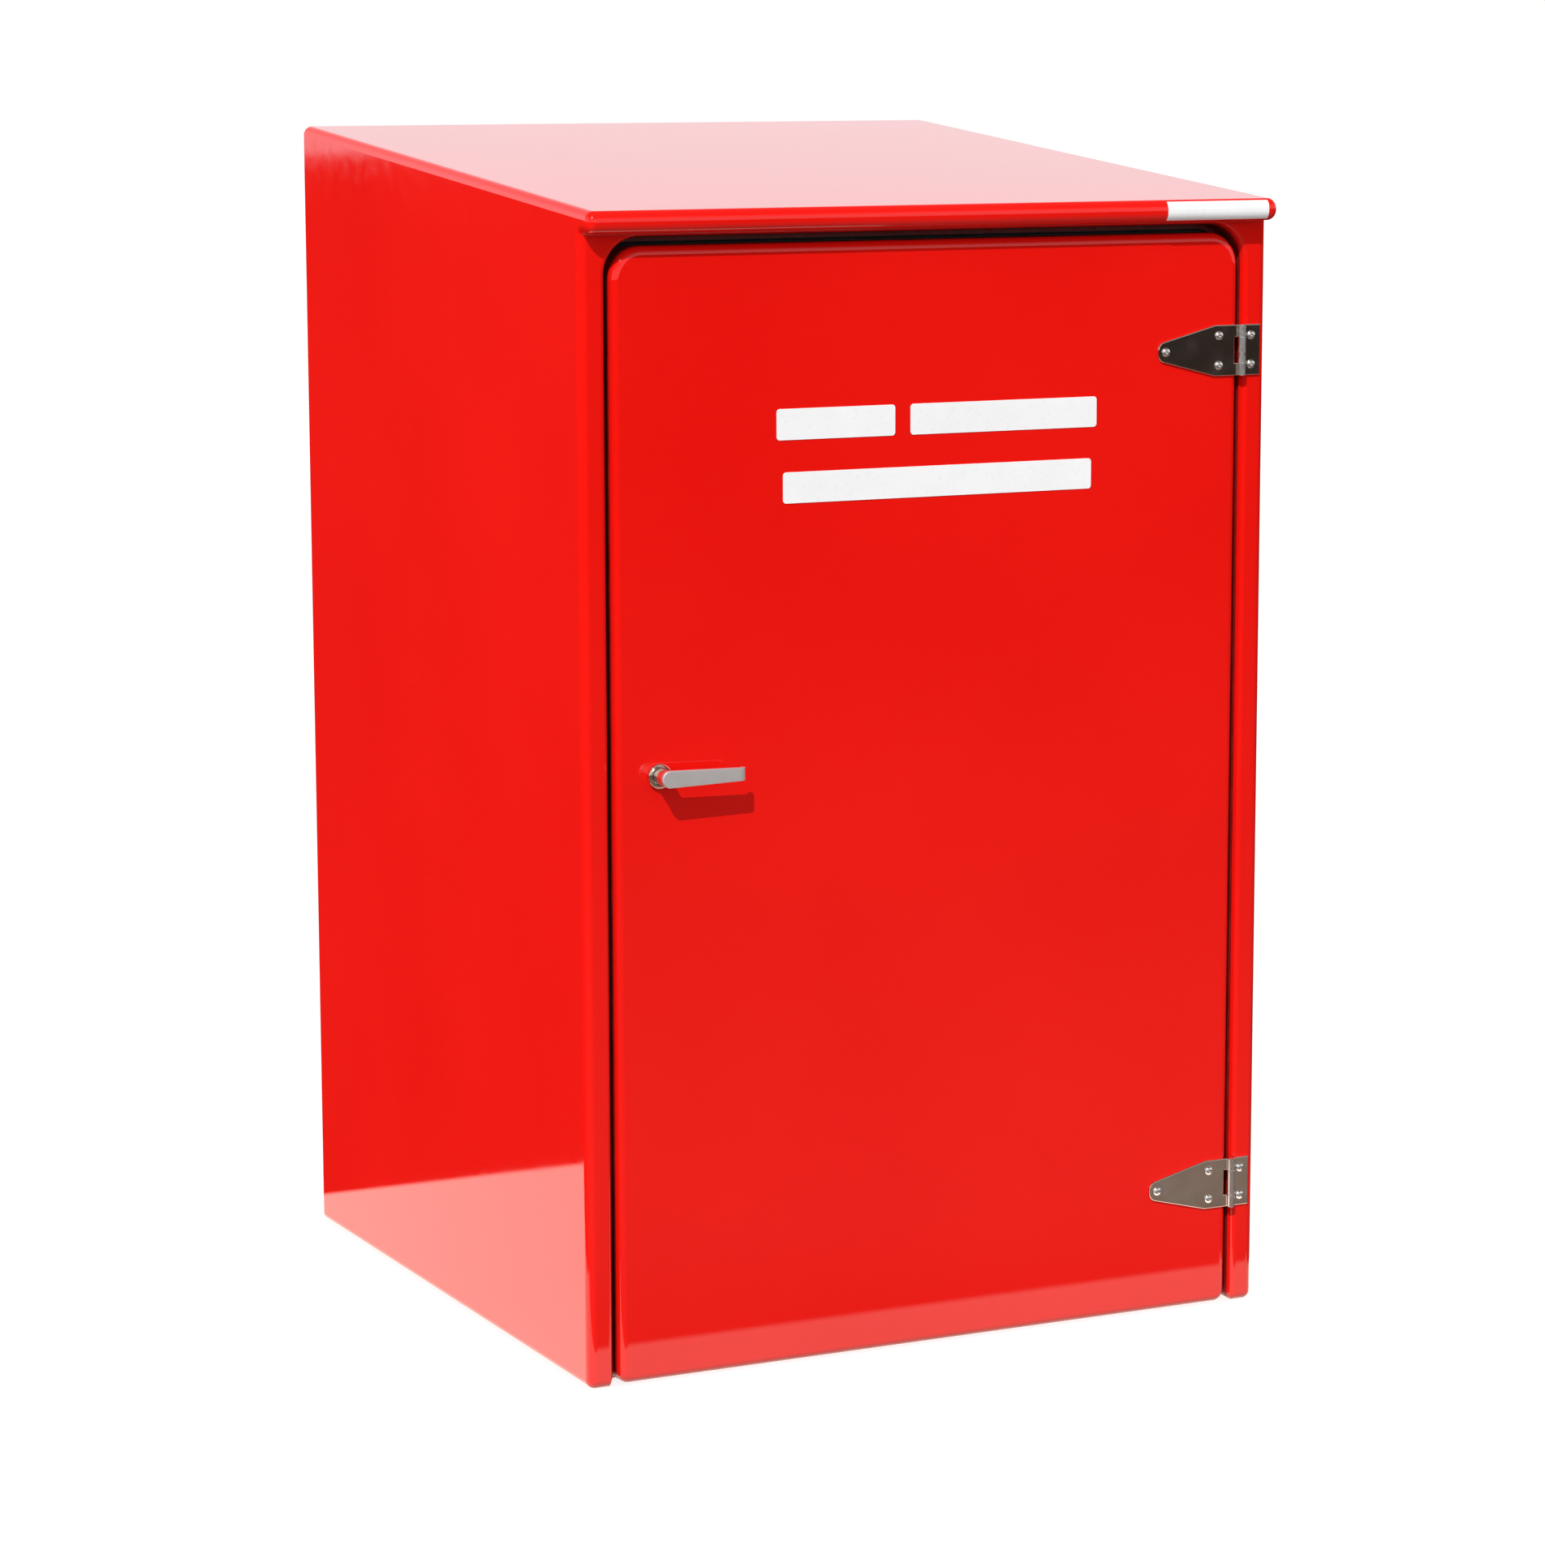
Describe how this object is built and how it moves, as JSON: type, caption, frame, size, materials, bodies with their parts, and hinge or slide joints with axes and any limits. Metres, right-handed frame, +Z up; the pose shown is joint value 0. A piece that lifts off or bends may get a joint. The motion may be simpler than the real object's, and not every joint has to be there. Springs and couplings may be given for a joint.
{
  "type": "wheeled fire extinguisher cabinet",
  "caption": "Floor-standing moulded cabinet for a wheeled fire extinguisher, with a sloping roof, a rounded front lip, a hinged door and a lever latch.",
  "frame": {"origin": "middle of the footprint, lever included, at floor level", "axes": "+Z up, the door faces -Y, and it is hung at +X"},
  "size_m": [0.9, 0.924, 1.4419],
  "materials": {
    "red_gelcoat": "mirror-gloss red gel coat on a glass-fibre laminate",
    "white_laminate": "flow-coated glass-fibre laminate, satin",
    "core_board": "sealed plywood core, hidden",
    "seal_rubber": "matt black foam rubber",
    "polished_steel": "mirror-polished stainless steel",
    "satin_steel": "satin stainless steel",
    "zinc_steel": "zinc-plated steel",
    "white_vinyl": "white self-adhesive vinyl"
  },
  "bodies": {
    "cabinet": {"cabinet_shell": "red_gelcoat", "door_seal": "seal_rubber", "lower_hinge_jamb_leaf": "polished_steel", "lower_hinge_pin": "satin_steel", "lower_jamb_backing_plate": "zinc_steel", "lower_jamb_bolt_top": "polished_steel", "lower_jamb_bolt_bottom": "polished_steel", "upper_hinge_jamb_leaf": "polished_steel", "upper_hinge_pin": "satin_steel", "upper_jamb_backing_plate": "zinc_steel", "upper_jamb_bolt_top": "polished_steel", "upper_jamb_bolt_bottom": "polished_steel", "latch_strike": "satin_steel", "strike_top_rivet": "satin_steel", "strike_bottom_rivet": "satin_steel", "lip_label": "white_vinyl"},
    "door": {"door_skin": "red_gelcoat", "door_core": "core_board", "door_inner_panel": "white_laminate", "lower_hinge_door_leaf": "polished_steel", "lower_door_backing_plate": "zinc_steel", "lower_door_bolt_tip": "polished_steel", "lower_door_bolt_top": "polished_steel", "lower_door_bolt_bottom": "polished_steel", "upper_hinge_door_leaf": "polished_steel", "upper_door_backing_plate": "zinc_steel", "upper_door_bolt_tip": "polished_steel", "upper_door_bolt_top": "polished_steel", "upper_door_bolt_bottom": "polished_steel", "handle_rose": "polished_steel", "rose_fixing_nut": "zinc_steel", "legend_bar_first": "white_vinyl", "legend_bar_second": "white_vinyl", "legend_bar_third": "white_vinyl"},
    "handle": {"lever_handle": "polished_steel", "handle_spindle": "satin_steel", "latch_cam": "satin_steel", "cam_washer": "zinc_steel", "cam_nut": "zinc_steel"}
  },
  "joints": [
    {"name": "door_hinge", "type": "hinge", "parent": "cabinet", "child": "door", "pos_m": [0.4135, -0.4331, 0.667], "axis": [0, 0, 1], "range_deg": [0, 180]},
    {"name": "handle_turn", "type": "hinge", "parent": "door", "child": "handle", "pos_m": [-0.3565, -0.428, 0.717], "axis": [0, 1, 0], "range_deg": [0, 90]}
  ]
}
